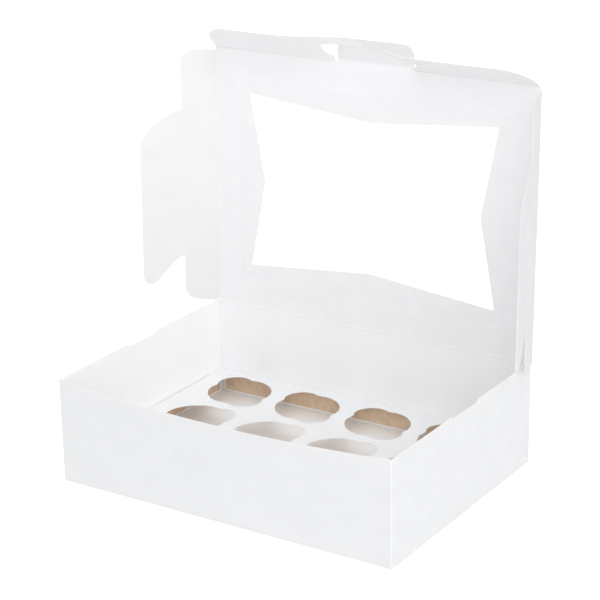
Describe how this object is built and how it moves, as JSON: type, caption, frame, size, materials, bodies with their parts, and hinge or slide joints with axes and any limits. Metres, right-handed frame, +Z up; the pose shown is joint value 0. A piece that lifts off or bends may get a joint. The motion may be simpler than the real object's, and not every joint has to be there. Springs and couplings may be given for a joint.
{
  "type": "window cake box",
  "caption": "Folded white paperboard cake box with an open window lid, side and front flaps, clear film and a pierced cupcake insert.",
  "frame": {"origin": "centre of the tray's underside, on the surface that it stands on", "axes": "+X along the front wall, from left to right seen from the front; +Y from the front wall to the back wall; +Z up"},
  "size_m": [0.4488, 0.2683, 0.3921],
  "materials": {
    "white_board": "matte",
    "kraft_backed_board": "matte",
    "clear_film": "gloss"
  },
  "bodies": {
    "root": {"tray": "white_board", "cupcake_insert": "kraft_backed_board"},
    "lid": {"lid_panel": "white_board", "window_film": "clear_film"},
    "front_flap": {"front_tuck_flap": "white_board"},
    "left_flap": {"left_side_flap": "white_board"},
    "right_flap": {"right_side_flap": "white_board"}
  },
  "joints": [
    {"name": "lid_fold", "type": "hinge", "parent": "root", "child": "lid", "pos_m": [0, 0.1303, 0.1023], "axis": [1, 0, 0], "range_deg": [-88.5, 91.5]},
    {"name": "front_flap_fold", "type": "hinge", "parent": "lid", "child": "front_flap", "pos_m": [0, 0.13713, 0.36331], "axis": [1, 0, 0], "range_deg": [-36, 30]},
    {"name": "left_flap_fold", "type": "hinge", "parent": "lid", "child": "left_flap", "pos_m": [-0.1783, 0.1337, 0.23226], "axis": [0, 0.0262, 0.9997], "range_deg": [-25, 65]},
    {"name": "right_flap_fold", "type": "hinge", "parent": "lid", "child": "right_flap", "pos_m": [0.1783, 0.1337, 0.23226], "axis": [0, -0.0262, -0.9997], "range_deg": [-75, 15]}
  ]
}
